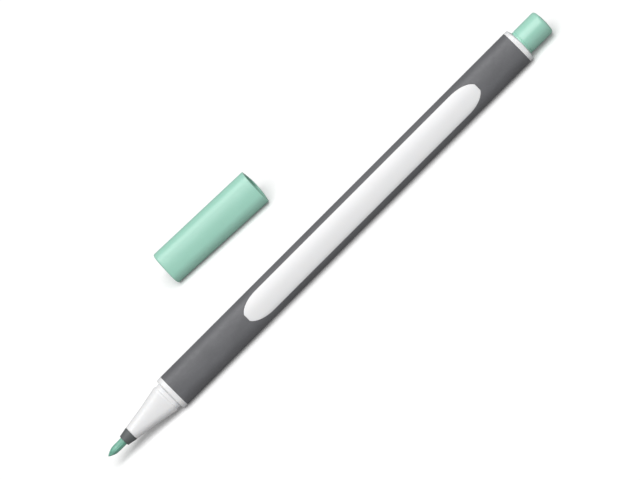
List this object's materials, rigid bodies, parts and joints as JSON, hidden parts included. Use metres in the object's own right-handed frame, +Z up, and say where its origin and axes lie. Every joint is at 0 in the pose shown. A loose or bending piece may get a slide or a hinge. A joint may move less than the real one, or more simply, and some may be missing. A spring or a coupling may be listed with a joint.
{
  "type": "brush pen",
  "caption": "Slim three-sided brush pen with a soft dark grip sleeve, white window panels, a flexible fibre brush tip and a pull-off cap lying beside it.",
  "frame": {"origin": "middle of the barrel's bottom flat, on which the pen rests", "axes": "+X from the brush tip towards the end plug along the pen, +Z up from the resting flat, the cap lies on the +Y side"},
  "size_m": [0.1629, 0.0601, 0.0103],
  "materials": {
    "white_plastic": "smooth satin white",
    "soft_grip": "soft-touch matt dark grey",
    "dark_plastic": "satin dark grey",
    "ink_fibre": "fibre soaked with mint ink",
    "reservoir_fibre": "loose polyester fibre",
    "clear_film": "thin film",
    "mint_plastic": "satin mint",
    "seal_plastic": "soft satin mint"
  },
  "bodies": {
    "pen": {"barrel": "white_plastic", "nose_section": "white_plastic", "grip_sleeve": "soft_grip", "nib_collar": "dark_plastic", "nib_stem": "ink_fibre", "ink_reservoir": "reservoir_fibre", "reservoir_film": "clear_film", "end_plug": "mint_plastic"},
    "brush": {"brush_tip": "ink_fibre"},
    "cap": {"cap_shell": "mint_plastic", "cap_inner_seal": "seal_plastic"}
  },
  "joints": [
    {"name": "cap_slide", "type": "slide", "parent": "pen", "child": "cap", "axis": [1, 0, 0], "range_m": [-0.08, 0]},
    {"name": "brush_flex", "type": "hinge", "parent": "pen", "child": "brush", "pos_m": [-0.0829, 0, 0.00445], "axis": [0, 1, 0], "range_deg": [-20, 20], "stiffness_Nm_per_rad": 0.005}
  ]
}
